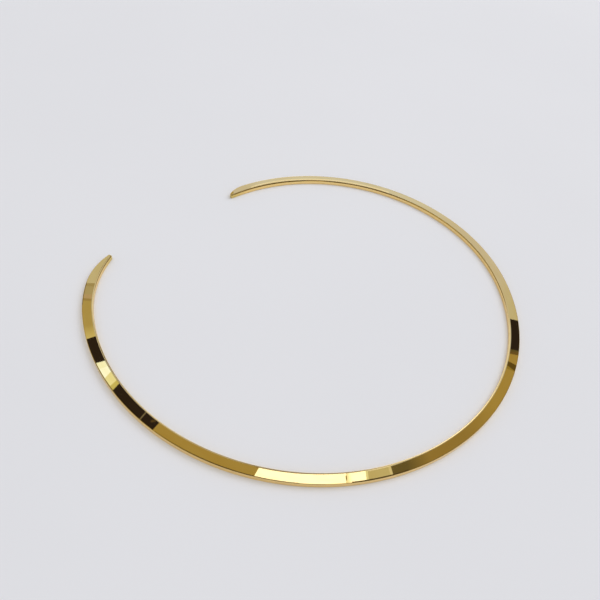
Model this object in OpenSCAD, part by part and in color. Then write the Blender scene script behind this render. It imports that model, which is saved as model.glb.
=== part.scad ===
// Open collar choker: one flat strip of polished metal bent into a ring.
// It lies on its side, with its underside on z = 0 and its front at -Y.

/* [Ring] */
// Radius of the strip's middle line, round the front and up the left side
ring_r = 65; // [60:0.5:75]
// Radius of the middle line on the right side, which is bent a little tighter
right_r = 55.5; // [50:0.5:59.5]
// Angle from the front to where the tighter bend begins
right_start = 44; // [35:1:50]
// Angle that the tighter bend runs through, to the right tip
right_turn = 117; // [105:1:120]
// Angle from the front up the left side to where its end begins to curl in
left_turn = 128; // [115:1:130]
// Angle that the curl runs through, to the left tip
left_curl_turn = 16; // [8:1:18]

/* [Strip] */
// Width of the strip, seen from above
strip_w = 3.1; // [2.5:0.1:5]
// Thickness of the strip, from the surface up
strip_t = 1.5; // [1.2:0.1:2.5]
// Rounding of the top edge on the neck side
neck_round = 0.4; // [0.2:0.05:0.6]
// Rounding of the other three edges
edge_round = 0.15; // [0.1:0.05:0.4]

/* [Tips] */
// Radius of the neck side's edge in the curl and in the left tip
left_curl_r = 41.5; // [30:0.5:55]
// Radius of the outer edge as it runs in to the left tip
left_taper_r = 21.5; // [14:0.5:28]
// Radius of the neck side's edge in the right tip, which straightens a little
right_curl_r = 85; // [50:1:110]
// Radius of the outer edge as it runs in to the right tip
right_taper_r = 10.5; // [9:0.5:18]
// Radius of the round nose at each tip
nose_r = 0.6; // [0.5:0.05:0.9]

/* [Hidden] */

// Steps round each corner of the strip, along each tip and round each nose
corner_steps = 3;
tip_steps = 9;
nose_steps = 4;
// The widest step along the bends, and how far round its quarter turn a nose is followed
bend_step = 3.5;
nose_turn = 80;

// A station is one cross-section of the strip: [x, y] of its edge on the neck side,
// the direction across the strip away from the neck, and its width there.
front_angle = 270;
left_joint = front_angle - left_turn;
left_end = left_joint - left_curl_turn;
right_joint = front_angle + right_start;
right_end = right_joint + right_turn;
curl_mid_r = left_curl_r + strip_w / 2;

// The middle of each tighter bend lies where it shares a tangent with the ring
left_mid = (ring_r - curl_mid_r) * [cos(left_joint), sin(left_joint)];
right_mid = (ring_r - right_r) * [cos(right_joint), sin(right_joint)];

function bend(mid, r, from, to) =
    let (steps = ceil((to - from) / bend_step))
    [for (i = [0:steps]) let (a = from + (to - from) * i / steps)
        [mid + (r - strip_w / 2) * [cos(a), sin(a)], a, strip_w]];

// In a tip's own frame the strip arrives at y = 0 across x, with the neck at -x.
// Its two edges are circles about points on y = 0, which close in on each other
// until the nose's circle touches both.
function mids_apart(curl, taper) = curl + strip_w - taper;
function tip_turn(curl, taper) =
    let (d = mids_apart(curl, taper), a = curl + nose_r, b = taper - nose_r)
    acos((a * a + d * d - b * b) / (2 * a * d));
function nose_mid(curl, taper) =
    let (turn = tip_turn(curl, taper))
    [-curl - strip_w / 2, 0] + (curl + nose_r) * [cos(turn), sin(turn)];
function tip_width(curl, taper, angle) =
    let (d = mids_apart(curl, taper))
    d * cos(angle) + sqrt(taper * taper - pow(d * sin(angle), 2)) - curl;

function tip_body(curl, taper) =
    let (turn = tip_turn(curl, taper))
    [for (i = [1:tip_steps]) let (a = turn * i / tip_steps)
        [[-curl - strip_w / 2, 0] + curl * [cos(a), sin(a)], a, tip_width(curl, taper, a)]];

function tip_nose(curl, taper) =
    let (
        turn = tip_turn(curl, taper),
        mid = nose_mid(curl, taper),
        ahead = nose_r * [-sin(turn), cos(turn)],
        across = nose_r * [cos(turn), sin(turn)]
    )
    [for (i = [1:nose_steps]) let (a = nose_turn * i / nose_steps)
        [mid + sin(a) * ahead - cos(a) * across, turn, 2 * nose_r * cos(a)]];

// A tip's stations moved to a joint of the ring, where side is 1 on the right and -1 on the left
function placed(stations, joint, angle, side) =
    [for (s = stations)
        [joint + s[0].x * [cos(angle), sin(angle)] + side * s[0].y * [-sin(angle), cos(angle)],
            angle + side * s[1], s[2]]];

function reversed(list) = [for (i = [len(list) - 1:-1:0]) list[i]];
function tail(list) = [for (i = [1:len(list) - 1]) list[i]];

left_tip = placed(
    concat(tip_body(left_curl_r, left_taper_r), tip_nose(left_curl_r, left_taper_r)),
    left_mid + curl_mid_r * [cos(left_end), sin(left_end)], left_end, -1
);
right_tip = placed(
    concat(tip_body(right_curl_r, right_taper_r), tip_nose(right_curl_r, right_taper_r)),
    right_mid + right_r * [cos(right_end), sin(right_end)], right_end, 1
);
left_curl = bend(left_mid, curl_mid_r, left_end, left_joint);
ring = bend([0, 0], ring_r, left_joint, right_joint);
right_bend = bend(right_mid, right_r, right_joint, right_end);
stations = concat(reversed(left_tip), left_curl, tail(ring), tail(right_bend), right_tip);

// The origin goes under the middle of the box round the whole ring
edges = [for (s = stations) each [s[0], s[0] + s[2] * [cos(s[1]), sin(s[1])]]];
box_low = [min([for (p = edges) p.x]), min([for (p = edges) p.y])];
box_high = [max([for (p = edges) p.x]), max([for (p = edges) p.y])];
to_origin = -concat(box_low + box_high, 0) / 2;

// One rounded corner of the cross-section, as points about its middle
function corner(mid, r, from) =
    [for (i = [0:corner_steps]) let (a = from + 90 * i / corner_steps) mid + r * [cos(a), sin(a)]];

// The cross-section: x runs from the neck side outward, y up.
// Where a tip is narrow, its roundings shrink with it.
function section(w) =
    let (shrink = min(1, w / (2 * nose_r)), e = edge_round * shrink, n = neck_round * shrink)
    concat(
        corner([w - e, strip_t - e], e, 0),
        corner([n, strip_t - n], n, 90),
        corner([e, e], e, 180),
        corner([w - e, e], e, 270)
    );

// Sweeps the cross-section through every station into one closed solid
module sweep(path) {
    points = [
        for (s = path) for (p = section(s[2]))
            [s[0].x + p.x * cos(s[1]), s[0].y + p.x * sin(s[1]), p.y]
    ];
    count = len(section(strip_w));
    last = len(path) - 1;
    sides = [
        for (i = [0:last - 1]) for (j = [0:count - 1]) let (k = (j + 1) % count)
            [i * count + j, i * count + k, (i + 1) * count + k, (i + 1) * count + j]
    ];
    first_end = [for (j = [count - 1:-1:0]) j];
    last_end = [for (j = [0:count - 1]) last * count + j];
    polyhedron(points, concat([first_end], sides, [last_end]));
}

module collar() {
    color([0.83, 0.66, 0.27]) translate(to_origin) sweep(stations);
}

collar();
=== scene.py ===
import bpy
from math import acos, ceil, cos, degrees, radians, sin, sqrt
from mathutils import Matrix, Vector


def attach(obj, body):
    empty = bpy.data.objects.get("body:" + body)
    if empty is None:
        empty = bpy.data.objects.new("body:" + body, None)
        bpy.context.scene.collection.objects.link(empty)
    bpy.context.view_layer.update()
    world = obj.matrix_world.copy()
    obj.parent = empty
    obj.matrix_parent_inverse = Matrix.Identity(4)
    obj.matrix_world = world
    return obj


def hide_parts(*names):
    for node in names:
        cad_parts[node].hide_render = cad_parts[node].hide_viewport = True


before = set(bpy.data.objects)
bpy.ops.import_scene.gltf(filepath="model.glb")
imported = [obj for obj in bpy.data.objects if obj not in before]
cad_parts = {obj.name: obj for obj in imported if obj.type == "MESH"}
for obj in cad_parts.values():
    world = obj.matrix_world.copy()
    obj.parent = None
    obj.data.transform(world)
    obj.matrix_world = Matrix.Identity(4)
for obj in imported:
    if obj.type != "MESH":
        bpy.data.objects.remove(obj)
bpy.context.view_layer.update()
scene = bpy.context.scene
mm = 0.001


def lerp(a, b, t):
    return a + (b - a) * t


def at(angle, length=1.0):
    return Vector((cos(radians(angle)), sin(radians(angle)))) * length


def link(obj):
    scene.collection.objects.link(obj)
    return obj


# The strip's shape, in millimetres and degrees as in the CAD source
collar = {
    "ringRadius": 65.0,       # middle line, front and left
    "rightRadius": 55.5,      # middle line, right side
    "frontAngle": 270.0,
    "rightStart": 44.0,
    "rightTurn": 117.0,
    "leftTurn": 128.0,
    "leftCurlTurn": 16.0,
    "width": 3.1,
    "thickness": 1.5,
    "neckRound": 0.5,         # top edge on the neck side
    "edgeRound": 0.15,        # the other three edges
    "leftCurlRadius": 41.5,   # neck side's edge
    "leftTaperRadius": 21.5,
    "rightCurlRadius": 85.0,
    "rightTaperRadius": 10.5,
    "noseRadius": 0.6,
    "bendStep": 0.5,          # degrees between two sections
    "tipSteps": 40,
    "noseSteps": 12,
    "noseTurn": 88.0,         # how far round its quarter turn a nose is followed
    "cornerSteps": 6,
    "faceSteps": 4,           # across each flat side
    "domeLength": 0.3,        # how far from its end a tip starts to lose height
    "domeMiddle": 0.3,        # the level it shrinks to, as a share of the thickness
    "domeLeast": 0.25,        # the share of its height left at the very end
}


# A section is the edge on the neck side, the heading outward and the width
def bendSections(mid, radius, start, end):
    steps = ceil((end - start) / collar["bendStep"])
    inner = radius - collar["width"] / 2
    angles = [lerp(start, end, i / steps) for i in range(steps + 1)]
    return [(mid + at(a, inner), a, collar["width"]) for a in angles]


# A tip in its own frame: the strip arrives at y = 0 with the neck at -x
def tipSections(curl, taper):
    width, nose = collar["width"], collar["noseRadius"]
    apart = curl + width - taper
    a, b = curl + nose, taper - nose
    turn = degrees(acos((a * a + apart * apart - b * b) / (2 * a * apart)))
    base = Vector((-curl - width / 2, 0))
    made = []
    for i in range(1, collar["tipSteps"] + 1):
        angle = turn * i / collar["tipSteps"]
        side = apart * sin(radians(angle))
        across = apart * cos(radians(angle)) + sqrt(taper * taper - side * side) - curl
        made.append((base + at(angle, curl), angle, across))
    mid = base + at(turn, a)
    for i in range(1, collar["noseSteps"] + 1):
        angle = radians(collar["noseTurn"] * i / collar["noseSteps"])
        edge = mid + at(turn + 90, nose * sin(angle)) - at(turn, nose * cos(angle))
        made.append((edge, turn, 2 * nose * cos(angle)))
    return made


def placed(sections, joint, angle, side):
    return [
        (joint + at(angle, p.x) + at(angle + 90, side * p.y), angle + side * heading, width)
        for p, heading, width in sections
    ]


def collarSections():
    ringRadius, rightRadius = collar["ringRadius"], collar["rightRadius"]
    leftJoint = collar["frontAngle"] - collar["leftTurn"]
    leftEnd = leftJoint - collar["leftCurlTurn"]
    rightJoint = collar["frontAngle"] + collar["rightStart"]
    rightEnd = rightJoint + collar["rightTurn"]
    curlRadius = collar["leftCurlRadius"] + collar["width"] / 2
    leftMid = at(leftJoint, ringRadius - curlRadius)
    rightMid = at(rightJoint, ringRadius - rightRadius)
    left = placed(
        tipSections(collar["leftCurlRadius"], collar["leftTaperRadius"]),
        leftMid + at(leftEnd, curlRadius), leftEnd, -1,
    )
    right = placed(
        tipSections(collar["rightCurlRadius"], collar["rightTaperRadius"]),
        rightMid + at(rightEnd, rightRadius), rightEnd, 1,
    )
    return (
        left[::-1]
        + bendSections(leftMid, curlRadius, leftEnd, leftJoint)
        + bendSections(Vector((0, 0)), ringRadius, leftJoint, rightJoint)[1:]
        + bendSections(rightMid, rightRadius, rightJoint, rightEnd)[1:]
        + right
    )


# Points round the cross-section: x from the neck side outward, z, and the normal in x and z
def sectionPoints(width):
    shrink = min(1, width / (2 * collar["noseRadius"]))
    edge, neck = collar["edgeRound"] * shrink, collar["neckRound"] * shrink
    top = collar["thickness"]
    corners = [
        (width - edge, top - edge, edge, 0), (neck, top - neck, neck, 90),
        (edge, edge, edge, 180), (width - edge, edge, edge, 270),
    ]
    points = []
    for i, (x, z, radius, start) in enumerate(corners):
        for j in range(collar["cornerSteps"] + 1):
            n = at(start + 90 * j / collar["cornerSteps"])
            points.append((x + radius * n.x, z + radius * n.y, n.x, n.y))
        # the flat side that leads on to the next corner
        nextX, nextZ, nextRadius, nextStart = corners[(i + 1) % len(corners)]
        n = at(nextStart)
        x1, z1 = points[-1][:2]
        x2, z2 = nextX + nextRadius * n.x, nextZ + nextRadius * n.y
        for j in range(1, collar["faceSteps"]):
            t = j / collar["faceSteps"]
            points.append((lerp(x1, x2, t), lerp(z1, z2, t), n.x, n.y))
    return points


# How much of its height the strip keeps at this distance from its end
def domeHeight(length):
    left = max(0.0, 1 - length / collar["domeLength"])
    return max(collar["domeLeast"], sqrt(1 - left * left))


def buildCollar():
    sections = collarSections()
    edges = [p for p, h, w in sections] + [p + at(h, w) for p, h, w in sections]
    middle = Vector((
        (min(p.x for p in edges) + max(p.x for p in edges)) / 2,
        (min(p.y for p in edges) + max(p.y for p in edges)) / 2,
    ))
    run = [0.0]    # length along the strip's middle at each section
    for (p, h, w), (q, g, v) in zip(sections, sections[1:]):
        run.append(run[-1] + ((q + at(g, v / 2)) - (p + at(h, w / 2))).length)
    shape = [sectionPoints(width) for p, heading, width in sections]
    count, last = len(shape[0]), len(sections) - 1
    ends = [min(length, run[-1] - length) for length in run]
    heights = [domeHeight(length) for length in ends]
    level = collar["thickness"] * collar["domeMiddle"]
    grid = []
    for (p, heading, width), points, height in zip(sections, shape, heights):
        flats = [p + at(heading, x) - middle for x, z, nx, nz in points]
        grid.append([Vector((flat.x, flat.y, level + (point[1] - level) * height))
                     for flat, point in zip(flats, points)])
    verts, normals, along, across, wall, tip = [], [], [], [], [], []
    for i, (p, heading, width) in enumerate(sections):
        before, after = grid[max(i - 1, 0)], grid[min(i + 1, last)]
        h = at(heading)
        for j, (x, z, nx, nz) in enumerate(shape[i]):
            verts.append(grid[i][j] * mm)
            # square to the strip's run there and to the way round the section
            normal = (after[j] - before[j]).cross(Vector((-nz * h.x, -nz * h.y, nx * heights[i])))
            if normal.dot(Vector((nx * h.x, nx * h.y, nz))) < 0:
                normal = -normal
            normals.append(normal.normalized())
            along.append(run[i] * mm)
            across.append(x / width)
            wall.append(abs(nx))
            tip.append(ends[i] * mm)
    faces = [
        (i * count + j, (i + 1) * count + j,
         (i + 1) * count + (j + 1) % count, i * count + (j + 1) % count)
        for i in range(last) for j in range(count)
    ]
    faces.append(tuple(range(count)))
    faces.append(tuple(last * count + j for j in range(count - 1, -1, -1)))
    mesh = bpy.data.meshes.new("collarStrip")
    mesh.from_pydata(verts, [], faces)
    mesh.polygons.foreach_set("use_smooth", [True] * len(mesh.polygons))
    mesh.normals_split_custom_set_from_vertices(normals)
    for name, values in (("along", along), ("across", across), ("wall", wall), ("tip", tip)):
        mesh.attributes.new(name, "FLOAT", "POINT").data.foreach_set("value", values)
    mesh.validate()
    strip = link(bpy.data.objects.new("collarStrip", mesh))
    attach(strip, "root")
    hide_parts("collar")
    return mesh


stripMesh = buildCollar()
print("collar", len(stripMesh.vertices), "vertices")


# Short calls for building a node tree
class Tree:
    def __init__(self, tree):
        self.tree = tree

    def node(self, kind, inputs=None, **settings):
        made = self.tree.nodes.new(kind)
        for key, value in settings.items():
            setattr(made, key, value)
        for key, value in (inputs or {}).items():
            self.feed(made.inputs[key], value)
        return made

    def feed(self, socket, value):
        if isinstance(value, bpy.types.NodeSocket):
            self.tree.links.new(value, socket)
        else:
            socket.default_value = value

    def math(self, operation, a, b):
        return self.node("ShaderNodeMath", {0: a, 1: b}, operation=operation).outputs[0]

    # 1 where a ray comes from the floor, also by way of the metal, and 0 otherwise
    def thrown(self, path):
        return self.math("GREATER_THAN", path.outputs["Diffuse Depth"], 0.5)

    def attribute(self, name, output="Fac"):
        return self.node("ShaderNodeAttribute", attribute_name=name).outputs[output]

    # noise drawn out along the strip: a length in metres along it, a share of its width across
    def grain(self, along, across, length, share, detail):
        vector = self.node("ShaderNodeCombineXYZ", {
            "X": self.math("DIVIDE", along, length), "Y": self.math("DIVIDE", across, share)})
        return self.node("ShaderNodeTexNoise", {
            "Vector": vector.outputs[0], "Scale": 1.0, "Detail": detail}).outputs["Fac"]

    def ramp(self, value, low, high, start=0.0, end=1.0):
        return self.node("ShaderNodeMapRange", {
            "Value": value, "From Min": low, "From Max": high, "To Min": start, "To Max": end,
        }, interpolation_type="SMOOTHSTEP").outputs["Result"]

    # sockets 6 and 7 and output 2 of a mix node are its colors
    def mix(self, factor, a, b):
        return self.node("ShaderNodeMix", {0: factor, 6: a, 7: b}, data_type="RGBA").outputs[2]


def material(name):
    made = bpy.data.materials.new(name)
    made.use_nodes = True
    made.node_tree.nodes.clear()
    return made, Tree(made.node_tree)


gold = {
    "color": (0.93, 0.73, 0.36, 1.0),
    "deepColor": (0.91, 0.695, 0.32, 1.0),    # where the plating is a little thicker
    "wallPaintedReflection": (0.95, 0.70, 0.30, 1.0),     # painted reflection: a warmer tint on the two side walls, for the warm floor they mirror
    "wallRange": (0.55, 0.98),                # how steep a face is where that color comes in
    "tipColor": (0.76, 0.58, 0.19, 1.0),      # painted shade: the walls darker at the very end of a tip
    "tipShadeLength": 0.008,                       # and how far from it this fades, in metres
    "nosePaintedShade": (0.66, 0.50, 0.17, 1.0),     # painted shade on the filed round end itself, for the dark surroundings it mirrors
    "noseShadeLength": 0.0007,
    "roughness": 0.012,
    "wallRoughness": 0.09,
    "linesRoughness": 0.030,                  # of the buffing lines
    "linesLength": 0.017,                     # metres along the strip
    "linesShare": 0.018,                      # of the strip's width
    "linesDetail": 3.0,
    "linesRange": (0.56, 0.74),               # of the noise that shows as lines
    "cloudLength": 0.007,                     # the same four for the deeper color
    "cloudShare": 0.7,
    "cloudDetail": 2.0,
    "cloudRange": (0.35, 0.7),
}


def goldMaterial():
    made, t = material("polishedGold")
    along, across, wall, tip = (t.attribute(name) for name in ("along", "across", "wall", "tip"))
    lines, cloud = (
        t.grain(along, across, gold[name + "Length"], gold[name + "Share"], gold[name + "Detail"])
        for name in ("lines", "cloud"))
    wallMask = t.ramp(wall, *gold["wallRange"])
    rough = t.ramp(lines, *gold["linesRange"], gold["roughness"], gold["linesRoughness"])
    rough = t.math("MAXIMUM", rough, t.math("MULTIPLY", wallMask, gold["wallRoughness"]))
    color = t.mix(t.ramp(cloud, *gold["cloudRange"]), gold["color"], gold["deepColor"])
    # painted reflection on the walls, turning to painted shade toward the end of a tip
    wallPaintedReflection = t.mix(t.ramp(tip, 0.0, gold["tipShadeLength"]), gold["tipColor"], gold["wallPaintedReflection"])
    color = t.mix(wallMask, color, wallPaintedReflection)
    # painted shade on the very end
    color = t.mix(t.ramp(tip, 0.0, gold["noseShadeLength"]), gold["nosePaintedShade"], color)
    shader = t.node("ShaderNodeBsdfPrincipled", {
        "Base Color": color, "Metallic": 1.0, "Roughness": rough})
    t.node("ShaderNodeOutputMaterial", {"Surface": shader.outputs[0]})
    return made


stripMesh.materials.append(goldMaterial())
print("material", stripMesh.materials[0].name)


floorLook = {
    "half": 8.0,                              # half its side, in metres
    "drop": 0.00002,                          # how far it lies under the collar
    "color": (0.799, 0.802, 0.838, 1.0),
    "shade": (0.784, 0.787, 0.823, 1.0),      # its slightly darker patches
    "patchScale": 6.0,
    "patchDetail": 3.0,
    "patchRange": (0.3, 0.7),
    "roughness": 0.7,
    "sheen": 0.05,
}


def floorMaterial():
    made, t = material("paleFloor")
    place = t.node("ShaderNodeTexCoord").outputs["Object"]
    noise = t.node("ShaderNodeTexNoise", {
        "Vector": place, "Scale": floorLook["patchScale"], "Detail": floorLook["patchDetail"]})
    patch = t.ramp(noise.outputs["Fac"], *floorLook["patchRange"])
    shader = t.node("ShaderNodeBsdfPrincipled", {
        "Base Color": t.mix(patch, floorLook["color"], floorLook["shade"]),
        "Roughness": floorLook["roughness"], "Specular IOR Level": floorLook["sheen"]})
    t.node("ShaderNodeOutputMaterial", {"Surface": shader.outputs[0]})
    return made


def buildFloor():
    half = floorLook["half"]
    mesh = bpy.data.meshes.new("floor")
    corners = [(-half, -half, 0), (half, -half, 0), (half, half, 0), (-half, half, 0)]
    mesh.from_pydata(corners, [], [(0, 1, 2, 3)])
    mesh.materials.append(floorMaterial())
    floor = link(bpy.data.objects.new("floor", mesh))
    floor.location.z = -floorLook["drop"]


buildFloor()
print("floor", 2 * floorLook["half"], "m wide")


lightLook = {
    "fill": (0.722, 0.722, 0.722, 1.0),       # what lights the floor from all round
    "mirrored": (0.60, 0.61, 0.67, 1.0),      # the plain surroundings in the metal
    "thrown": (1.10, 1.12, 1.25, 1.0),        # what the metal throws back on the floor
    "backdrop": (0.72, 0.72, 0.776, 1.0),
    "keyPower": 30.0,
    "keySize": 2.4,                           # metres
    "keyDistance": 3.0,
    "keyAzimuth": -20.0,                      # degrees from +X
    "keyHeight": 46.0,                        # degrees above the floor
}


# The tones of what the polished metal mirrors: plain panels high over the collar.
# Only reflections see them, so they light nothing else.
tones = {
    "black": (0.025, 0.018, 0.017),
    "shade": (0.06, 0.05, 0.04),
    "olive": (0.115, 0.10, 0.05),
    "umber": (0.115, 0.082, 0.022),
    # a faint spot painted into the reflection, lighter than black
    "faintSpot": (0.085, 0.06, 0.03),
    "warmDark": (0.135, 0.113, 0.052),
    "dim": (0.20, 0.18, 0.15),
    "warmDeep": (0.296, 0.222, 0.078),
    "brown": (0.15, 0.105, 0.045),
    "honeyDark": (0.286, 0.222, 0.053),
    "honeyDip": (0.34, 0.28, 0.14),
    "greyDip": (0.37, 0.335, 0.215),
    "dusk": (0.36, 0.35, 0.34),
    "warm": (0.385, 0.30, 0.105),
    "honeyDeep": (0.43, 0.37, 0.172),
    "grey": (0.42, 0.393, 0.283),
    "seam": (0.467, 0.39, 0.30),
    "yellow": (0.61, 0.60, 0.265),
    "pale": (0.554, 0.53, 0.353),
    "mild": (0.56, 0.56, 0.49),
    "honey": (0.62, 0.58, 0.31),
    "plain": (0.60, 0.61, 0.67),
    "tan": (0.62, 0.48, 0.30),
    "edge": (0.67, 0.65, 0.50),
    "cool": (0.66, 0.71, 0.83),
    "glow": (0.80, 0.86, 0.64),
    "flare": (0.87, 0.88, 0.64),
    "bright": (0.90, 0.92, 0.98),
    "cream": (0.875, 0.95, 0.74),
    "softDim": (1.02, 1.20, 1.32),
    "softMild": (1.10, 1.32, 1.65),
    "soft": (1.73, 1.73, 1.73),
}
# The panels follow a track. A place on it is a number from -10 to 1020, and an offset says how
# far off its middle a point lies, toward the outer side, in the same unit.
# Each line of the track is a place, then the x and y in metres at the two offsets of "reach".
# A panel of the band is the place where it starts at each offset of "starts", its tone there
# and its tone where the next one starts. The last line only ends the band.
# A mark is a ribbon just under the band: at each place, the offsets of its two sides.
panels = {
    "height": 0.5,            # metres over the floor
    "markHeight": 0.4999,
    "step": 8.0,              # how long a face may be, in places
    "columns": 4,             # faces across the band
    "reach": (-14.0, 13.0),
    "cover": (-8.5, 8.5),     # the band's two sides
    "starts": (4.2, -5.5),
    "track": [
        (-10, 0.4858, 0.4531, 0.5140, 0.5134),
        (10, 0.5206, 0.4484, 0.5613, 0.5087),
        (30, 0.5538, 0.4383, 0.6053, 0.4968),
        (45, 0.5767, 0.4267, 0.6347, 0.4829),
        (60, 0.5979, 0.4122, 0.6612, 0.4657),
        (90, 0.6345, 0.3765, 0.7055, 0.4238),
        (120, 0.6637, 0.3343, 0.7397, 0.3749),
        (150, 0.6851, 0.2879, 0.7643, 0.3208),
        (180, 0.6975, 0.2388, 0.7779, 0.2628),
        (210, 0.6994, 0.1884, 0.7787, 0.2023),
        (240, 0.6898, 0.1384, 0.7650, 0.1416),
        (270, 0.6689, 0.0910, 0.7367, 0.0835),
        (300, 0.6375, 0.0482, 0.6952, 0.0313),
        (330, 0.5978, 0.0121, 0.6433, -0.0126),
        (360, 0.5522, -0.0156, 0.5840, -0.0460),
        (390, 0.5036, -0.0340, 0.5211, -0.0675),
        (420, 0.4546, -0.0427, 0.4590, -0.0768),
        (450, 0.4076, -0.0426, 0.4015, -0.0753),
        (480, 0.3642, -0.0353, 0.3506, -0.0655),
        (510, 0.3252, -0.0223, 0.3064, -0.0498),
        (540, 0.2906, -0.0050, 0.2683, -0.0300),
        (570, 0.2600, 0.0155, 0.2356, -0.0073),
        (600, 0.2327, 0.0385, 0.2071, 0.0173),
        (630, 0.2085, 0.0633, 0.1819, 0.0435),
        (660, 0.1878, 0.0896, 0.1599, 0.0717),
        (690, 0.1708, 0.1179, 0.1416, 0.1023),
        (720, 0.1577, 0.1485, 0.1273, 0.1351),
        (750, 0.1481, 0.1813, 0.1168, 0.1699),
        (780, 0.1418, 0.2161, 0.1098, 0.2068),
        (810, 0.1393, 0.2527, 0.1065, 0.2461),
        (840, 0.1414, 0.2912, 0.1080, 0.2884),
        (870, 0.1490, 0.3313, 0.1157, 0.3337),
        (900, 0.1632, 0.3726, 0.1312, 0.3821),
        (930, 0.1853, 0.4135, 0.1569, 0.4326),
        (945, 0.1994, 0.4327, 0.1745, 0.4579),
        (960, 0.2157, 0.4505, 0.1957, 0.4825),
        (975, 0.2338, 0.4658, 0.2208, 0.5051),
        (990, 0.2533, 0.4779, 0.2494, 0.5240),
        (1005, 0.2734, 0.4857, 0.2805, 0.5374),
        (1020, 0.2937, 0.4892, 0.3123, 0.5441),
    ],
    "band": [
        (3, 3, "honeyDeep", "honeyDeep"),
        (7, 7, "plain", "cool"),
        (40, 40, "cool", "cool"),
        (200, 200, "cool", "plain"),
        (250, 250, "plain", "plain"),
        (300, 300, "plain", "mild"),
        (335, 335, "mild", "mild"),
        (350.9, 347.2, "black", "black"),
        (380.2, 379.0, "olive", "olive"),
        (381.9, 381.7, "brown", "brown"),
        (384.6, 383.9, "warm", "warm"),
        (393.6, 391.0, "umber", "umber"),
        (398.9, 394.9, "honeyDark", "honeyDark"),
        (400.3, 399.4, "warm", "warm"),
        (440, 440, "warm", "warmDeep"),
        (480, 480, "warmDeep", "warmDeep"),
        (520, 520, "warmDeep", "warmDark"),
        (545, 545, "warmDark", "warmDark"),
        (560.9, 561.1, "edge", "edge"),
        (563.4, 564.2, "pale", "pale"),
        (585.3, 584.9, "glow", "glow"),
        (587.6, 587.2, "soft", "soft"),
        (600.5, 602.5, "soft", "flare"),
        (607.9, 606.9, "soft", "soft"),
        (699.7, 696.6, "warm", "warm"),
        (810.1, 809.0, "black", "black"),
        (825.7, 825.8, "dim", "dim"),
        (826.9, 827.0, "black", "black"),
        (865.4, 867.0, "yellow", "yellow"),
        (870.2, 871.4, "cream", "cream"),
        (879.4, 882.0, "softMild", "softMild"),
        (889.8, 888.4, "softDim", "softDim"),
        (896.5, 894.7, "black", "black"),
        (921.5, 922.1, "honey", "honeyDeep"),
        (934, 935, "honeyDeep", "honeyDeep"),
        (959.0, 959.2, "honeyDip", "honeyDip"),
        (961.2, 961.7, "seam", "seam"),
        (965.0, 966.5, "grey", "grey"),
        (973.2, 974.8, "greyDip", "greyDip"),
        (975.8, 979.1, "mild", "mild"),
        (1013, 1013, None, None),
    ],
    "marks": [
        # far side: a light line beside the neck's edge
        ("bright", [(25, -1.1, 0.0), (52, -1.2, 0.3), (84, -0.7, 0.8), (116, -0.4, 1.2),
                    (150, -0.4, 1.1), (165, -0.6, 0.9)]),
        # and a dark one right at it
        ("black", [(8, -14, -1.2), (25, -14, -1.1), (52, -14, -1.2), (84, -14, -0.7),
                   (116, -14, -0.4), (150, -14, -0.4), (165, -14, -0.6), (175, -14, -0.9)]),
        # near side: dark lines along the outer edge
        ("shade", [(545, 4.8, 13), (564, 4.8, 13), (596, 4.6, 13), (602, 4.5, 13)]),
        ("black", [(655, 3.6, 13), (676, 3.1, 13), (698, 2.9, 13), (724, 3.1, 13),
                   (756, 3.6, 13), (788, 4.0, 13), (808, 4.2, 13)]),
        ("olive", [(862, 3.9, 13), (900, 3.9, 13)]),
        ("olive", [(955, 4.7, 13), (976, 4.7, 13)]),
        # and lines along the neck's edge
        ("bright", [(520, -14, -4.7), (545, -14, -4.1), (556, -14, -3.75), (566, -14, -3.55),
                    (585, -14, -3.55)]),
        ("dim", [(592, -14, -4.3), (612, -14, -4.6), (628, -14, -5.0), (644, -14, -5.4),
                 (660, -14, -5.65), (676, -14, -5.9), (700, -14, -6.0)]),
        ("black", [(866, -14, -5.15), (900, -14, -5.0)]),
        ("umber", [(977, -14, -4.2), (985, -14, -3.1), (990, -14, -2.45), (996, -14, -1.95),
                   (1002, -14, -1.5), (1007, -14, -1.0), (1013, -14, -0.5)]),
        # the thin line across the brightest panel
        ("warmDeep", [(606.7, -2.2, 2.7), (607.9, -2.2, 2.7)]),
        # and a faint lighter spot, painted into the reflection, in a dark one
        ("faintSpot", [(812.6, -4.7, -3.4), (813.8, -5.1, -2.7), (815, -4.9, -1.1),
                    (816.2, -3.6, -0.3), (817.2, -2.4, -1.4)]),
    ],
}
# The ceiling behind the band: rings about a middle, in metres, cut by spokes. The crown and the
# rim have one tone each, and the rings between them take the near or the far tone of a spoke.
# A stop is a spoke's angle with these two tones.
ceiling = {
    "height": 0.506,
    "middle": (0.03, 0.0),
    "rings": [(0.01, "crown"), (0.17, "crown"), (0.19, "far"), (0.26, "far"), (0.28, "near"),
              (0.85, "near"), (1.0, "far"), (4.0, "far"), (10.0, "rim")],
    "crown": "black",
    "rim": "dim",
    "stops": [(4, "plain", "plain"), (-6, "umber", "warmDeep"), (-42, "umber", "warmDeep"),
              (-52, "dusk", "warm"), (-68, "black", "warm"), (-90, "black", "warm"),
              (-117, "black", "honeyDeep"), (-118.5, "tan", "honeyDeep"),
              (-130.5, "tan", "honeyDeep"), (-132, "black", "honeyDeep"),
              (-150, "black", "warm"), (-179, "black", "warm"), (-187, "dim", "warm"),
              (-195, "honeyDeep", "honeyDeep"), (-243, "honeyDeep", "honeyDeep"),
              (-255, "dim", "warm"), (-268, "shade", "warmDeep"), (-286, "shade", "warmDeep"),
              (-292, "plain", "plain")],
    "patchHeight": 0.505,
    "patches": [
        # one that reaches over the collar
        ("black", [(0.235, 0.035), (0.34, 0.09), (0.37, 0.19), (0.27, 0.22), (0.165, 0.12)]),
        # and one for the nose of the far tip
        ("honeyDeep", [(0.36, 0.42), (0.36, 0.48), (0.20, 0.52), (0.05, 0.56), (-0.10, 0.64),
                       (-0.28, 0.80), (-0.34, 0.76), (-0.14, 0.54), (0.04, 0.45), (0.20, 0.42)]),
    ],
}
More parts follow.
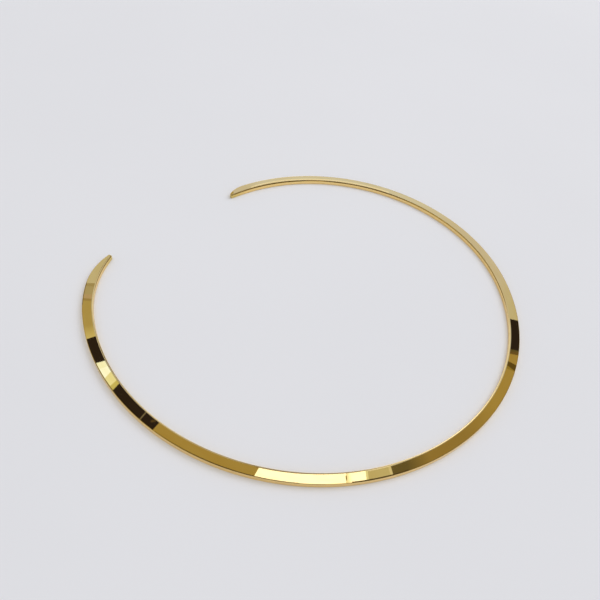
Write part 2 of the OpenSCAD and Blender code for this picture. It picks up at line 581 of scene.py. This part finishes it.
# A card that stands upright beyond the collar, with its tones at angles from +X
card = {
    "distance": 1.5,
    "low": 0.02,
    "high": 0.90,
    "stops": [(-3, "plain"), (12, "bright"), (15, "bright"), (16, "black"), (25, "black"),
              (26, "bright"), (28, "bright"), (28.5, "dim"), (31, "dim"), (31.5, "soft"),
              (41, "soft"), (43, "bright"), (60, "bright"), (80, "plain")],
}


def panelMaterial():
    made, t = material("panelGlow")
    thrown = t.thrown(t.node("ShaderNodeLightPath"))
    glow = t.node("ShaderNodeEmission", {
        "Color": t.mix(thrown, t.attribute("tone", "Color"), lightLook["thrown"]), "Strength": 1.0})
    t.node("ShaderNodeOutputMaterial", {"Surface": glow.outputs[0]})
    return made


def panelObject(name, verts, faces, colors, look):
    mesh = bpy.data.meshes.new(name)
    mesh.from_pydata(verts, [], faces)
    mesh.attributes.new("tone", "FLOAT_COLOR", "POINT").data.foreach_set(
        "color", [c for color in colors for c in (*color, 1.0)])
    mesh.materials.append(look)
    panel = link(bpy.data.objects.new(name, mesh))
    # seen in reflections, and otherwise not there
    for ray in ("camera", "diffuse", "transmission", "volume_scatter", "shadow"):
        setattr(panel, "visible_" + ray, False)


# The x and y over a place of the track, on a smooth curve through four of its lines
def trackPoint(place, off):
    track = panels["track"]
    i = next((i for i in range(1, len(track) - 2) if place < track[i + 1][0]), len(track) - 3)
    lines = track[i - 1:i + 3]
    places = [line[0] for line in lines]
    first, last = panels["reach"]
    share = (off - first) / (last - first)
    points = [Vector((x0, y0)).lerp(Vector((x1, y1)), share) for _, x0, y0, x1, y1 in lines]
    span = places[2] - places[1]
    t = (place - places[1]) / span
    slopes = [(points[j + 1] - points[j - 1]) * span / (places[j + 1] - places[j - 1])
              for j in (1, 2)]
    return (points[1] * (1 + 2 * t) * (1 - t) ** 2 + slopes[0] * t * (1 - t) ** 2
            + points[2] * t * t * (3 - 2 * t) - slopes[1] * t * t * (1 - t))


# A sheet between rows of places and offsets, each row with its own tone
def sheet(rows, height, verts, faces, colors):
    first, count = len(verts), len(rows[0][0])
    for places, color in rows:
        verts += [(*trackPoint(*p), height) for p in places]
        colors += [color] * count
    for i in range(len(rows) - 1):
        for j in range(count - 1):
            a = first + i * count + j
            faces.append((a, a + 1, a + count + 1, a + count))


# Shares of the way from one place to another, no further apart than a face may be long
def stepsBetween(a, b):
    steps = max(1, ceil((b - a) / panels["step"]))
    return [i / steps for i in range(steps + 1)]


def buildBand(look):
    parts = [], [], []
    outerOff, neckOff = panels["starts"]
    columns = panels["columns"]
    offs = [lerp(*panels["cover"], i / columns) for i in range(columns + 1)]
    lines = panels["band"]
    for (outer, neck, tone, endTone), (nextOuter, nextNeck, _, _) in zip(lines, lines[1:]):
        rows = []
        for t in stepsBetween(outer, nextOuter):
            # a row leans where its place differs from side to side
            a, b = lerp(neck, nextNeck, t), lerp(outer, nextOuter, t)
            row = [(lerp(a, b, (off - neckOff) / (outerOff - neckOff)), off) for off in offs]
            rows.append((row, [lerp(p, q, t) for p, q in zip(tones[tone], tones[endTone])]))
        sheet(rows, panels["height"], *parts)
    panelObject("mirrorBand", *parts, look)


def buildMarks(look):
    parts = [], [], []
    for tone, stops in panels["marks"]:
        rows = []
        for (a, a0, a1), (b, b0, b1) in zip(stops, stops[1:]):
            for t in stepsBetween(a, b):
                place = lerp(a, b, t)
                rows.append(([(place, lerp(a0, b0, t)), (place, lerp(a1, b1, t))], tones[tone]))
        sheet(rows, panels["markHeight"], *parts)
    panelObject("mirrorMarks", *parts, look)


def buildCeiling(look):
    middle, height = Vector(ceiling["middle"]), ceiling["height"]
    verts, faces, colors = [], [], []
    count = len(ceiling["rings"])
    for angle, near, far in ceiling["stops"]:
        zones = {"crown": ceiling["crown"], "rim": ceiling["rim"], "near": near, "far": far}
        for radius, zone in ceiling["rings"]:
            verts.append((*(middle + at(angle, radius)), height))
            colors.append(tones[zones[zone]])
    for j in range(len(ceiling["stops"]) - 1):
        for i in range(count - 1):
            first = j * count + i
            faces.append((first, first + 1, first + count + 1, first + count))
    for tone, corners in ceiling["patches"]:
        faces.append(tuple(range(len(verts), len(verts) + len(corners))))
        verts += [(x, y, ceiling["patchHeight"]) for x, y in corners]
        colors += [tones[tone]] * len(corners)
    panelObject("mirrorCeiling", verts, faces, colors, look)


def buildCard(look):
    verts, colors = [], []
    for angle, tone in card["stops"]:
        foot = at(angle, card["distance"])
        verts += [(foot.x, foot.y, card["low"]), (foot.x, foot.y, card["high"])]
        colors += [tones[tone]] * 2
    faces = [(i, i + 1, i + 3, i + 2) for i in range(0, len(verts) - 2, 2)]
    panelObject("mirrorCard", verts, faces, colors, look)


panelLook = panelMaterial()
buildBand(panelLook)
buildMarks(panelLook)
buildCeiling(panelLook)
buildCard(panelLook)
print("mirrored panels", len(panels["band"]) - 1, "and marks", len(panels["marks"]))


def buildWorld():
    world = bpy.data.worlds.new("studio")
    world.use_nodes = True
    world.node_tree.nodes.clear()
    t = Tree(world.node_tree)
    path = t.node("ShaderNodeLightPath")
    mirrored = t.node("ShaderNodeBackground", {
        "Color": t.mix(t.thrown(path), lightLook["mirrored"], lightLook["thrown"]),
        "Strength": 1.0})
    fill, backdrop = (
        t.node("ShaderNodeBackground", {"Color": lightLook[name], "Strength": 1.0}).outputs[0]
        for name in ("fill", "backdrop"))
    first = t.node("ShaderNodeMixShader", {
        0: path.outputs["Is Glossy Ray"], 1: fill, 2: mirrored.outputs[0]})
    second = t.node("ShaderNodeMixShader", {
        0: path.outputs["Is Camera Ray"], 1: first.outputs[0], 2: backdrop})
    t.node("ShaderNodeOutputWorld", {"Surface": second.outputs[0]})
    scene.world = world


# A wide soft light from the right, which the metal doesn't mirror
def buildKey():
    data = bpy.data.lights.new("key", "AREA")
    data.shape = "DISK"
    data.size = lightLook["keySize"]
    data.energy = lightLook["keyPower"]
    key = link(bpy.data.objects.new("key", data))
    flat = at(lightLook["keyAzimuth"], cos(radians(lightLook["keyHeight"])))
    toward = Vector((flat.x, flat.y, sin(radians(lightLook["keyHeight"]))))
    key.location = toward * lightLook["keyDistance"]
    key.rotation_euler = (-toward).to_track_quat("-Z", "Y").to_euler()
    key.visible_glossy = False
    key.visible_camera = False


buildWorld()
buildKey()
print("world and key light")


# The photo's viewpoint: metres, with the roll in degrees and the lens and sensor in millimetres
cameraLook = {
    "place": (-0.111756, -0.057597, 0.129846),
    "aim": (-0.005124, 0.004034, 0.00075),
    "roll": 8.5134,
    "lens": 35.1131,
    "sensor": 36.0,
    "near": 0.001,
    "far": 20.0,
}


def buildCamera():
    data = bpy.data.cameras.new("camera")
    data.sensor_width = cameraLook["sensor"]
    data.lens = cameraLook["lens"]
    data.clip_start = cameraLook["near"]
    data.clip_end = cameraLook["far"]
    camera = link(bpy.data.objects.new("camera", data))
    place, aim = Vector(cameraLook["place"]), Vector(cameraLook["aim"])
    turn = (aim - place).to_track_quat("-Z", "Y").to_matrix().to_4x4()
    roll = Matrix.Rotation(radians(cameraLook["roll"]), 4, "Z")
    camera.matrix_world = Matrix.Translation(place) @ turn @ roll
    scene.camera = camera


buildCamera()
scene.view_settings.view_transform = "Standard"
print("camera", scene.camera.name)
